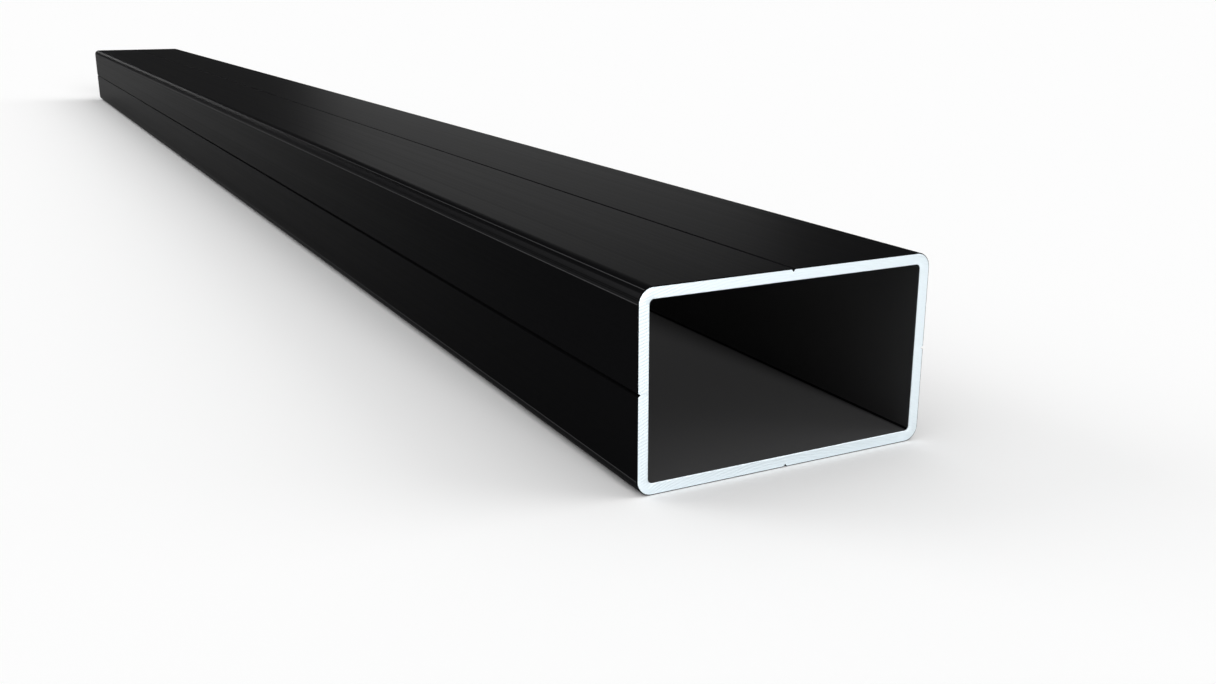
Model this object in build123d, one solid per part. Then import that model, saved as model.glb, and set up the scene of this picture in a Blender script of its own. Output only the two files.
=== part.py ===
"""Rectangular hollow section in extruded aluminium, cut to length.

The tube lies on one of its wide faces.  X runs along its length, Y across its width and Z up
through its height.  The origin is under the middle of the tube, at the level it lies on.
"""
from build123d import *
import os

# Driving dimensions, in millimetres.
tube_length = 700.0       # sawn end to sawn end, along X
section_width = 50.0      # over the narrow faces, along Y
section_height = 30.0     # over the wide faces, along Z
wall_thickness = 1.8
outer_corner_radius = 2.4
inner_corner_radius = 0.7
mark_width = 0.6          # centre-mark groove, across its mouth in the outer face
mark_depth = 0.5          # centre-mark groove, from the face to the bottom of its V
saw_edge_break = 0.15     # deburring of the sawn ends, outside and inside the wall


def section_profile():
    """The wall of the section, before its centre marks, seen along the tube."""
    bore_width = section_width - 2 * wall_thickness
    bore_height = section_height - 2 * wall_thickness
    outside = RectangleRounded(section_width, section_height, outer_corner_radius)
    bore = RectangleRounded(bore_width, bore_height, inner_corner_radius)
    return outside - bore


def sawn_blank():
    """The hollow section, cut to length, with the edges of both sawn faces broken."""
    blank = extrude(Plane.YZ * section_profile(), amount=tube_length / 2, both=True)
    sawn_faces = blank.faces().filter_by(Axis.X)
    return chamfer(sawn_faces.edges(), saw_edge_break)


def mark_cutter(reach):
    """The V of one centre mark, pointing down into a face that lies reach above the axis.

    Its flanks carry on past the face, so that they leave it at the mark's full width.
    """
    overrun = mark_depth
    half_top = mark_width / 2 * (mark_depth + overrun) / mark_depth
    vee = Polyline(
        (0, reach - mark_depth),
        (half_top, reach + overrun),
        (-half_top, reach + overrun),
        close=True,
    )
    return extrude(Plane.YZ * make_face(vee), amount=tube_length / 2 + overrun, both=True)


def rectangular_tube():
    """The finished tube, with a mark along the middle of each face, lying on the level Z = 0."""
    tube = sawn_blank()
    half_width = section_width / 2
    half_height = section_height / 2
    for turn, reach in ((0, half_height), (90, half_width), (180, half_height), (270, half_width)):
        tube -= Rot(turn, 0, 0) * mark_cutter(reach)
    return Pos(0, 0, half_height) * tube


os.makedirs("parts", exist_ok=True)
export_step(rectangular_tube(), "parts/rectangular_tube.step")
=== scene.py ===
"""Looks of a black anodised rectangular aluminium tube, laid out as a Blender add-on.

The tube is modelled again as one smooth mesh in the place of its CAD node: the hollow section with
rounded corners, a V-shaped centre mark along each outer face, and sawn ends with broken edges.
"""
import math

import bmesh
import bpy
from mathutils import Matrix, Vector


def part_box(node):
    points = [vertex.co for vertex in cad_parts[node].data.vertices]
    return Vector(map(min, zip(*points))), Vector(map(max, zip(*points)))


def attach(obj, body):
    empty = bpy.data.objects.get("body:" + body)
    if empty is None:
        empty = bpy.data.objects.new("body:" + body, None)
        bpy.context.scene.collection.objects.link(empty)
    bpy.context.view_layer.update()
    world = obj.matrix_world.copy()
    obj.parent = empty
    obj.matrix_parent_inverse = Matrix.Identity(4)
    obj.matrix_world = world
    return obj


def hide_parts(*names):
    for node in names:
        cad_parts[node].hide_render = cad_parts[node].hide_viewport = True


bl_info = {
    "name": "Rectangular Tube",
    "version": (1, 0, 0),
    "blender": (4, 5, 0),
    "location": "View3D > Sidebar > Tube",
    "description": "Adds a black anodised rectangular tube and a pale studio to look at it in",
    "category": "Add Mesh",
}

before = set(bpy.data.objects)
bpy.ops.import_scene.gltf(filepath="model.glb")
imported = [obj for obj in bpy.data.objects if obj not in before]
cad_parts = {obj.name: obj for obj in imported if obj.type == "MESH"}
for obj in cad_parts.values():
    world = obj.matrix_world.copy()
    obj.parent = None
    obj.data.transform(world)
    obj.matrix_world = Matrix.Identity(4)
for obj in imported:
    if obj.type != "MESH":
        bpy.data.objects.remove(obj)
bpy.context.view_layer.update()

NODE = "rectangular_tube"
PIECE = "black_tube"
MM = 0.001
TUBE_LOW, TUBE_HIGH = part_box(NODE)
TUBE_SPAN = TUBE_HIGH - TUBE_LOW


# ---------------------------------------------------------------- sizes and colours

class TubeSizes(bpy.types.PropertyGroup):
    """Sizes of the tube; the first three come from the CAD model."""
    length: bpy.props.FloatProperty(
        name="Length", description="Sawn end to sawn end", default=TUBE_SPAN.x, unit="LENGTH")
    width: bpy.props.FloatProperty(
        name="Width", description="Over the narrow faces", default=TUBE_SPAN.y, unit="LENGTH")
    height: bpy.props.FloatProperty(
        name="Height", description="Over the wide faces", default=TUBE_SPAN.z, unit="LENGTH")
    wall: bpy.props.FloatProperty(
        name="Wall", description="Wall thickness", default=1.8 * MM, unit="LENGTH")
    outer_corner: bpy.props.FloatProperty(
        name="Outer corner", description="Radius of the outer corners",
        default=2.4 * MM, unit="LENGTH")
    bore_corner: bpy.props.FloatProperty(
        name="Bore corner", description="Radius of the bore's corners",
        default=0.7 * MM, unit="LENGTH")
    mark_width: bpy.props.FloatProperty(
        name="Mark width", description="Width of the centre marks at their mouth",
        default=0.6 * MM, unit="LENGTH")
    mark_depth: bpy.props.FloatProperty(
        name="Mark depth", description="Depth of the V of the centre marks",
        default=0.5 * MM, unit="LENGTH")
    edge_break: bpy.props.FloatProperty(
        name="Edge break", description="Deburring of the sawn edges",
        default=0.15 * MM, unit="LENGTH")
    span: bpy.props.FloatProperty(
        name="Span", description="Greatest length of one mesh face along the tube",
        default=20 * MM, unit="LENGTH")


class TubeColours(bpy.types.PropertyGroup):
    """Colours of the tube's finishes, of the painted highlights and reflections on its corners, and
    of the studio floor, as sRGB hex values.
    """
    skin: bpy.props.StringProperty(
        name="Skin", description="Black anodised skin, seen straight on", default="#121213")
    skin_edge: bpy.props.StringProperty(
        name="Skin edge tint", description="What is left of the skin's glancing reflection",
        default="#b7b7b7")
    bore: bpy.props.StringProperty(
        name="Bore", description="Duller anodised inside of the tube", default="#252526")
    # Painted highlight: a lighter copy of the skin, for fine light lines on the corners.
    painted_highlight_line: bpy.props.StringProperty(
        name="Painted highlight line", description="Fine line on a corner, where the dye is thin",
        default="#49494a")
    # Painted reflection: a slightly lighter copy of the skin, for bands on the corners.
    painted_reflection_band: bpy.props.StringProperty(
        name="Painted reflection band", description="Band on a corner, where the dye is a little thin",
        default="#202021")
    sawn: bpy.props.StringProperty(
        name="Sawn metal", description="Bare aluminium of the sawn ends", default="#e9f3f8")
    floor: bpy.props.StringProperty(
        name="Floor", description="Studio floor", default="#f7f7f7")


class StudioPlaces(bpy.types.PropertyGroup):
    """Where the camera stands, what it looks at, and how far the floor reaches."""
    camera_place: bpy.props.FloatVectorProperty(
        name="Camera place", description="Centre of the lens", subtype="TRANSLATION",
        unit="LENGTH", default=(486.22 * MM, -100.36 * MM, 68.07 * MM))
    camera_target: bpy.props.FloatVectorProperty(
        name="Camera target", description="Point in the middle of the picture",
        subtype="TRANSLATION", unit="LENGTH", default=(325.12 * MM, -16.53 * MM, 15.0 * MM))
    lens: bpy.props.FloatProperty(
        name="Lens", description="Focal length on a sensor 36 mm wide, in millimetres",
        default=36.0)
    floor_radius: bpy.props.FloatProperty(
        name="Floor radius", description="How far the floor reaches", default=40.0, unit="LENGTH")


# ---------------------------------------------------------------- materials

SAW_PITCH = 0.45 * MM     # from one mark of the saw's teeth to the next
BLADE_DROP = 50 * MM      # centre of the saw's blade, below the level that the tube lies on
WAVE_RADIANS = 20         # phase that Blender's wave texture gives each unit, at a scale of 1


def hex_to_linear(text):
    """An sRGB hex colour as the linear colour that a shader socket takes."""
    channels = [int(text[i:i + 2], 16) / 255 for i in (1, 3, 5)]
    linear = [c / 12.92 if c <= 0.04045 else ((c + 0.055) / 1.055) ** 2.4 for c in channels]
    return (*linear, 1.0)


def add_node(owner, kind, inputs=None, **settings):
    """Adds a node to a material or a world, with its settings and its inputs.

    An input is given a value, or another node's output, which is then linked to it.
    """
    tree = owner.node_tree
    made = tree.nodes.new(kind)
    for name, value in settings.items():
        setattr(made, name, value)
    for name, value in (inputs or {}).items():
        if isinstance(value, bpy.types.NodeSocket):
            tree.links.new(value, made.inputs[name])
        else:
            made.inputs[name].default_value = value
    return made


def new_material(name):
    """An empty node material and its output node."""
    material = bpy.data.materials.new(name)
    material.use_nodes = True
    material.node_tree.nodes.clear()
    return material, add_node(material, "ShaderNodeOutputMaterial")


def stretched_noise(material, across, along, detail):
    """Noise in streaks along the tube: grains this wide across it and this long along it."""
    place = add_node(material, "ShaderNodeTexCoord")
    scaled = add_node(material, "ShaderNodeMapping", {
        "Vector": place.outputs["Object"],
        "Scale": (1 / along, 1 / across, 1 / across)})
    return add_node(material, "ShaderNodeTexNoise", {
        "Vector": scaled.outputs["Vector"], "Scale": 1.0, "Detail": detail})


def black_anodised_aluminium(name, colour, edge_tint):
    """Extruded aluminium, etched and anodised black.

    The dyed oxide swallows nearly all the light that falls on it straight and part of what
    glances off, so the skin is partly matt and partly a dark metal with a dimmed edge.  The etch
    makes it satin, and the die leaves faint lengthwise lines.
    """
    material, output = new_material(name)
    die_lines = stretched_noise(material, across=0.35 * MM, along=400 * MM, detail=2.0)
    etch = stretched_noise(material, across=0.12 * MM, along=0.2 * MM, detail=2.0)
    roughness = add_node(material, "ShaderNodeMapRange", {
        "Value": die_lines.outputs["Fac"],
        "From Min": 0.3, "From Max": 0.7, "To Min": 0.33, "To Max": 0.37})
    lines = add_node(material, "ShaderNodeBump", {
        "Height": die_lines.outputs["Fac"], "Strength": 0.15, "Distance": 0.004 * MM})
    grain = add_node(material, "ShaderNodeBump", {
        "Height": etch.outputs["Fac"], "Strength": 0.2, "Distance": 0.004 * MM,
        "Normal": lines.outputs["Normal"]})
    skin = add_node(material, "ShaderNodeBsdfPrincipled", {
        "Base Color": hex_to_linear(colour),
        "Metallic": 0.4,
        "Specular IOR Level": 0.0,
        "Specular Tint": hex_to_linear(edge_tint),
        "Roughness": roughness.outputs["Result"],
        "Normal": grain.outputs["Normal"]})
    material.node_tree.links.new(skin.outputs["BSDF"], output.inputs["Surface"])
    return material


def black_anodised_bore(colours):
    """The same finish inside the tube, as the die left it: duller, and a little greyer."""
    material, output = new_material("black_anodised_bore")
    skin = add_node(material, "ShaderNodeBsdfPrincipled", {
        "Base Color": hex_to_linear(colours.bore),
        "Metallic": 0.0,
        "Diffuse Roughness": 1.0,
        "Specular IOR Level": 0.3,
        "Sheen Weight": 0.1,
        "Sheen Roughness": 0.6,
        "Roughness": 0.5})
    material.node_tree.links.new(skin.outputs["BSDF"], output.inputs["Surface"])
    return material


def sawn_aluminium(colours):
    """Bare aluminium, cut by a circular saw.

    The teeth leave fine arcs, which scatter the light along the face and keep it nearly white.
    """
    material, output = new_material("sawn_aluminium")
    place = add_node(material, "ShaderNodeTexCoord")
    from_blade = add_node(material, "ShaderNodeMapping", {
        "Vector": place.outputs["Object"],
        "Location": (0.0, 0.0, BLADE_DROP)})
    teeth = add_node(material, "ShaderNodeTexWave", {
        "Vector": from_blade.outputs["Vector"],
        "Scale": math.tau / (WAVE_RADIANS * SAW_PITCH),
        "Distortion": 5.0, "Detail": 2.0, "Detail Scale": 0.4},
        wave_type="RINGS", rings_direction="X", wave_profile="SIN")
    roughness = add_node(material, "ShaderNodeMapRange", {
        "Value": teeth.outputs["Fac"], "To Min": 0.42, "To Max": 0.52})
    marks = add_node(material, "ShaderNodeBump", {
        "Height": teeth.outputs["Fac"], "Strength": 0.8, "Distance": 0.02 * MM})
    metal = add_node(material, "ShaderNodeBsdfPrincipled", {
        "Base Color": hex_to_linear(colours.sawn),
        "Metallic": 1.0,
        "Roughness": roughness.outputs["Result"],
        "Normal": marks.outputs["Normal"]})
    material.node_tree.links.new(metal.outputs["BSDF"], output.inputs["Surface"])
    return material


def pale_paper(colours):
    """Matt paper under the tube: no shine, so it shows the tube's soft shadow and little else."""
    material, output = new_material("pale_paper")
    paper = add_node(material, "ShaderNodeBsdfPrincipled", {
        "Base Color": hex_to_linear(colours.floor), "Roughness": 1.0, "Specular IOR Level": 0.0})
    material.node_tree.links.new(paper.outputs["BSDF"], output.inputs["Surface"])
    return material


# ---------------------------------------------------------------- shape of the tube

CORNER_SEGMENTS = 30      # faces across one rounded corner
BREAK_SEGMENTS = 3        # faces across one broken edge
ON_PLANE = 0.01 * MM      # a vertex this near a plane lies in it
CUT_REACH = 0.001 * MM    # a cut this near a vertex goes through it
END_LEAN = 0.9            # a face whose normal leans this far along X closes an end
SLENDER = 10              # an edge this many times longer along X than across runs along the tube
SHARP_ANGLE = 25          # degrees between two faces from which their edge stays sharp

# Finishes, in the order of the mesh's materials; the last two are painted highlight lines and
# painted reflection bands.
SKIN, SAWN, BORE, PAINTED_HIGHLIGHT_LINE, PAINTED_REFLECTION_BAND = range(5)

# Painted reflections on each outer corner, in strips along the tube given in degrees from the
# narrow
# face: lighter copies of the black skin.  The lines are painted highlights, and the bands are
# dimmer painted reflections between black ones.
PAINTED_HIGHLIGHT_LINES = ((0, 3), (54, 57))
PAINTED_REFLECTION_BANDS = ((3, 12), (15, 18), (21, 39))

# Painted shade: the middle of each bore corner, where the normal leans this far along both Y and Z,
# takes the black skin in place of the greyer bore, and shows as a thin dark line between two walls.
PAINTED_SHADE_LEAN = 0.5


def runs_along(edge):
    """Whether an edge runs the length of the tube."""
    span = edge.verts[0].co - edge.verts[1].co
    return abs(span.x) > SLENDER * max(abs(span.y), abs(span.z))


def add_sleeve(bm, length, width, height, corner_radius):
    """A sleeve along X with rounded corners, centred on the axis and open at both ends."""
    before = set(bm.faces)
    shape = Matrix.Diagonal((length, width, height, 1.0))
    corners = set(bmesh.ops.create_cube(bm, size=1.0, matrix=shape)["verts"])
    ridges = [e for e in bm.edges if runs_along(e) and e.verts[0] in corners]
    bmesh.ops.bevel(
        bm, geom=ridges, offset=corner_radius, offset_type="OFFSET", segments=CORNER_SEGMENTS,
        profile=0.5, affect="EDGES", material=-1, clamp_overlap=True)
    made = [f for f in bm.faces if f not in before]
    ends = [f for f in made if abs(f.normal.x) > END_LEAN]
    bmesh.ops.delete(bm, geom=ends, context="FACES_ONLY")
    return [f for f in made if f.is_valid]


def paint_corner_reflections(bm, half_width, half_height, corner_radius):
    """Gives the strips on the rounded corners of the outer sleeve their painted highlights and
    painted reflections.
    """
    for face in bm.faces:
        middle = face.calc_center_median()
        out_y = abs(middle.y) - (half_width - corner_radius)
        out_z = abs(middle.z) - (half_height - corner_radius)
        if min(out_y, out_z) < 0:
            continue
        angle = math.degrees(math.atan2(out_z, out_y))
        for finish, strips in ((PAINTED_HIGHLIGHT_LINE, PAINTED_HIGHLIGHT_LINES), (PAINTED_REFLECTION_BAND, PAINTED_REFLECTION_BANDS)):
            if any(low < angle < high for low, high in strips):
                face.material_index = finish


def add_bore(bm, sizes):
    """The inner sleeve, facing inwards, with its duller finish and painted shade in its corners."""
    width, height = sizes.width - 2 * sizes.wall, sizes.height - 2 * sizes.wall
    bore = add_sleeve(bm, sizes.length, width, height, sizes.bore_corner)
    bmesh.ops.reverse_faces(bm, faces=bore)
    for face in bore:
        lean = min(abs(face.normal.y), abs(face.normal.z))
        # Painted shade: the middle of each corner takes the black skin.
        face.material_index = SKIN if lean > PAINTED_SHADE_LEAN else BORE


def end_edges(bm, end):
    """The open edges in the plane of one end."""
    return [e for e in bm.edges
            if e.is_boundary and all(abs(v.co.x - end) < ON_PLANE for v in e.verts)]


def close_ends(bm, half_length):
    """Joins the two sleeves by the sawn faces and gives those their bare finish."""
    for end in (-half_length, half_length):
        made = bmesh.ops.bridge_loops(bm, edges=end_edges(bm, end))
        for face in made["faces"]:
            face.material_index = SAWN


def break_edges(bm, edge_break):
    """Takes the sharp edges off the sawn faces, outside and in the bore.

    The break in the bore is bare.  The outer one takes the black skin, which draws a thin dark
    outline
    round the pale rim: painted shade on the broken edge.
    """
    sawn = {f for f in bm.faces if f.material_index == SAWN}
    rims = [e for e in bm.edges if len({f in sawn for f in e.link_faces}) == 2]
    made = bmesh.ops.bevel(
        bm, geom=rims, offset=edge_break, offset_type="OFFSET", segments=BREAK_SEGMENTS,
        profile=0.5, affect="EDGES", material=-1, clamp_overlap=True)
    for face in made["faces"]:
        away_from_axis = Vector((0, *face.calc_center_median().yz))
        # The outer break's black skin is painted shade on the broken edge.
        face.material_index = SKIN if face.normal.dot(away_from_axis) > 0 else SAWN


def cut_across(bm, point, normal):
    """Cuts every face with a plane and keeps both sides."""
    everything = list(bm.verts) + list(bm.edges) + list(bm.faces)
    bmesh.ops.bisect_plane(bm, geom=everything, dist=CUT_REACH, plane_co=point, plane_no=normal)


def sink_mark(bm, outward, across, face_level, mark_depth):
    """Draws the middle line of one outer face inwards, to the bottom of its V."""
    bottom = face_level - mark_depth
    for vert in bm.verts:
        level = vert.co.dot(outward)
        if abs(vert.co.dot(across)) < ON_PLANE and level > bottom:
            vert.co += outward * (bottom - level)


def mark_faces(bm, half_width, half_height, mark_width, mark_depth):
    """Sinks a V-shaped centre mark along the middle of each outer face."""
    along_y, along_z = Vector((0, 1, 0)), Vector((0, 0, 1))
    for axis in (along_y, along_z):
        for offset in (-mark_width / 2, 0.0, mark_width / 2):
            cut_across(bm, axis * offset, axis)
    for outward, across, level in (
            (along_z, along_y, half_height), (-along_z, along_y, half_height),
            (along_y, along_z, half_width), (-along_y, along_z, half_width)):
        sink_mark(bm, outward, across, level, mark_depth)


def split_lengthwise(bm, length, span):
    """Splits the long edges, so that no face is a sliver over the whole tube."""
    pieces = math.ceil(length / span)
    long_edges = [e for e in bm.edges if runs_along(e) and e.calc_length() > span]
    bmesh.ops.subdivide_edges(bm, edges=long_edges, cuts=pieces - 1, use_grid_fill=True)


def shade_smooth(bm):
    """Shades the mesh as smooth and keeps its sharp edges sharp."""
    bmesh.ops.recalc_face_normals(bm, faces=bm.faces)
    for face in bm.faces:
        face.smooth = True
    for edge in bm.edges:
        edge.smooth = edge.calc_face_angle(0.0) < math.radians(SHARP_ANGLE)


def tube_mesh(sizes):
    """The whole tube, centred on its axis, as one closed mesh."""
    bm = bmesh.new()
    half_length, half_width, half_height = sizes.length / 2, sizes.width / 2, sizes.height / 2
    add_sleeve(bm, sizes.length, sizes.width, sizes.height, sizes.outer_corner)
    paint_corner_reflections(bm, half_width, half_height, sizes.outer_corner)
    add_bore(bm, sizes)
    close_ends(bm, half_length)
    break_edges(bm, sizes.edge_break)
    mark_faces(bm, half_width, half_height, sizes.mark_width, sizes.mark_depth)
    split_lengthwise(bm, sizes.length, sizes.span)
    shade_smooth(bm)
    return bm


def add_object(name, bm, materials):
    """An object in the scene with this mesh and these materials."""
    mesh = bpy.data.meshes.new(name)
    bm.to_mesh(mesh)
    bm.free()
    for material in materials:
        mesh.materials.append(material)
    made = bpy.data.objects.new(name, mesh)
    bpy.context.scene.collection.objects.link(made)
    return made


def build_tube(sizes, colours):
    """Adds the tube in the place of its CAD node, riding on its body."""
    bm = tube_mesh(sizes)
    middle = (TUBE_LOW + TUBE_HIGH) / 2
    bmesh.ops.translate(bm, verts=bm.verts, vec=middle)
    edge_tint = colours.skin_edge
    tube = add_object(PIECE, bm, (
        black_anodised_aluminium("black_anodised_skin", colours.skin, edge_tint),
        sawn_aluminium(colours),
        black_anodised_bore(colours),
        # Lighter copies of the skin, for the painted highlights and painted reflections on the
        # corners.
        black_anodised_aluminium("painted_highlight_anodised_line", colours.painted_highlight_line, edge_tint),
        black_anodised_aluminium("painted_reflection_anodised_band", colours.painted_reflection_band, edge_tint)))
    normals = tube.modifiers.new("flat_faces_stay_flat", "WEIGHTED_NORMAL")
    normals.keep_sharp = True
    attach(tube, "root")
    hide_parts(NODE)


# ---------------------------------------------------------------- studio

FLOOR_SIDES = 64
SENSOR_WIDTH = 36.0                        # of the camera, in millimetres
NEAREST_SEEN, FARTHEST_SEEN = 5 * MM, 200.0

# Large soft lamps a long way off: name, bearing from +X towards +Y and height above the floor,
# both in degrees, the angle that the lamp fills, in degrees, and its light in watts a square metre.
LAMPS = (
    ("front_key", 2, 12, 12, 1.53),
    ("left_window", 222, 26, 30, 0.65),
    ("right_fill", 68, 33, 40, 0.82),
    ("right_strip", 155, 8, 22, 0.115),
    ("far_strip", 181, 7, 6, 0.04),
)

# Light of the studio's walls, up to their top, and of its ceiling, from its edge on.  Both heights
# are the Z of a direction of length 1, where 0 is level and 1 is straight up.
WALL_LIGHT, WALL_TOP = 0.13, 0.3
CEILING_LIGHT, CEILING_EDGE = 1.07, 0.9


def add_floor(colours, radius):
    """Adds a round floor at the level that the tube lies on."""
    bm = bmesh.new()
    bmesh.ops.create_circle(bm, cap_ends=True, segments=FLOOR_SIDES, radius=radius)
    floor = add_object("floor", bm, (pale_paper(colours),))
    floor.location.z = TUBE_LOW.z


def add_camera(places):
    """Adds the camera, level from side to side."""
    data = bpy.data.cameras.new("camera")
    data.lens = places.lens
    data.sensor_width = SENSOR_WIDTH
    data.clip_start = NEAREST_SEEN
    data.clip_end = FARTHEST_SEEN
    camera = bpy.data.objects.new("camera", data)
    camera.location = places.camera_place
    aim = Vector(places.camera_target) - Vector(places.camera_place)
    camera.rotation_euler = aim.to_track_quat("-Z", "Y").to_euler()
    bpy.context.scene.collection.objects.link(camera)
    bpy.context.scene.camera = camera


def add_lamp(name, bearing, height, angle, strength):
    """Adds a soft round lamp far away, so its light falls evenly on the whole floor."""
    data = bpy.data.lights.new(name, "SUN")
    data.energy = strength
    data.angle = math.radians(angle)
    lamp = bpy.data.objects.new(name, data)
    bearing, height = math.radians(bearing), math.radians(height)
    towards = Vector((math.cos(height) * math.cos(bearing), math.cos(height) * math.sin(bearing),
                      math.sin(height)))
    lamp.rotation_euler = towards.to_track_quat("Z", "Y").to_euler()
    bpy.context.scene.collection.objects.link(lamp)


def add_world():
    """Adds a studio with a white ceiling and grey walls: light from above, dim near the floor."""
    world = bpy.data.worlds.new("studio")
    world.use_nodes = True
    background = world.node_tree.nodes["Background"]
    background.inputs["Color"].default_value = hex_to_linear("#ffffff")
    direction = add_node(world, "ShaderNodeTexCoord")
    upwards = add_node(world, "ShaderNodeSeparateXYZ", {"Vector": direction.outputs["Generated"]})
    level = add_node(world, "ShaderNodeMapRange", {
        "Value": upwards.outputs["Z"], "From Min": WALL_TOP, "From Max": CEILING_EDGE,
        "To Min": WALL_LIGHT, "To Max": CEILING_LIGHT},
        interpolation_type="SMOOTHSTEP")
    world.node_tree.links.new(level.outputs["Result"], background.inputs["Strength"])
    bpy.context.scene.world = world


# ---------------------------------------------------------------- operators, panel and start

class MESH_OT_rectangular_tube_add(bpy.types.Operator):
    """Add the black anodised rectangular tube"""
    bl_idname = "mesh.rectangular_tube_add"
    bl_label = "Rectangular Tube"

    def execute(self, context):
        build_tube(context.scene.tube_sizes, context.scene.tube_colours)
        return {"FINISHED"}


class SCENE_OT_tube_studio_add(bpy.types.Operator):
    """Add the pale floor, the soft lamps and the camera"""
    bl_idname = "scene.tube_studio_add"
    bl_label = "Tube Studio"

    def execute(self, context):
        places = context.scene.tube_places
        add_floor(context.scene.tube_colours, places.floor_radius)
        add_camera(places)
        add_world()
        for lamp in LAMPS:
            add_lamp(*lamp)
        context.scene.view_settings.view_transform = "Standard"
        return {"FINISHED"}


class VIEW3D_PT_rectangular_tube(bpy.types.Panel):
    """Sizes, colours and buttons of the tube"""
    bl_label = "Rectangular Tube"
    bl_space_type = "VIEW_3D"
    bl_region_type = "UI"
    bl_category = "Tube"

    def draw(self, context):
        layout = self.layout
        scene = context.scene
        for group in (scene.tube_sizes, scene.tube_colours, scene.tube_places):
            box = layout.box()
            for name in group.bl_rna.properties.keys():
                if name not in ("rna_type", "name"):
                    box.prop(group, name)
        layout.operator(MESH_OT_rectangular_tube_add.bl_idname)
        layout.operator(SCENE_OT_tube_studio_add.bl_idname)


CLASSES = (
    TubeSizes, TubeColours, StudioPlaces,
    MESH_OT_rectangular_tube_add, SCENE_OT_tube_studio_add, VIEW3D_PT_rectangular_tube,
)


def register():
    """Registers the classes and hangs the settings on the scene."""
    for cls in CLASSES:
        bpy.utils.register_class(cls)
    bpy.types.Scene.tube_sizes = bpy.props.PointerProperty(type=TubeSizes)
    bpy.types.Scene.tube_colours = bpy.props.PointerProperty(type=TubeColours)
    bpy.types.Scene.tube_places = bpy.props.PointerProperty(type=StudioPlaces)


def unregister():
    """Takes the settings and the classes away again."""
    del bpy.types.Scene.tube_places
    del bpy.types.Scene.tube_colours
    del bpy.types.Scene.tube_sizes
    for cls in reversed(CLASSES):
        bpy.utils.unregister_class(cls)


def main():
    register()
    bpy.ops.mesh.rectangular_tube_add()
    bpy.ops.scene.tube_studio_add()


if __name__ == "__main__":
    main()
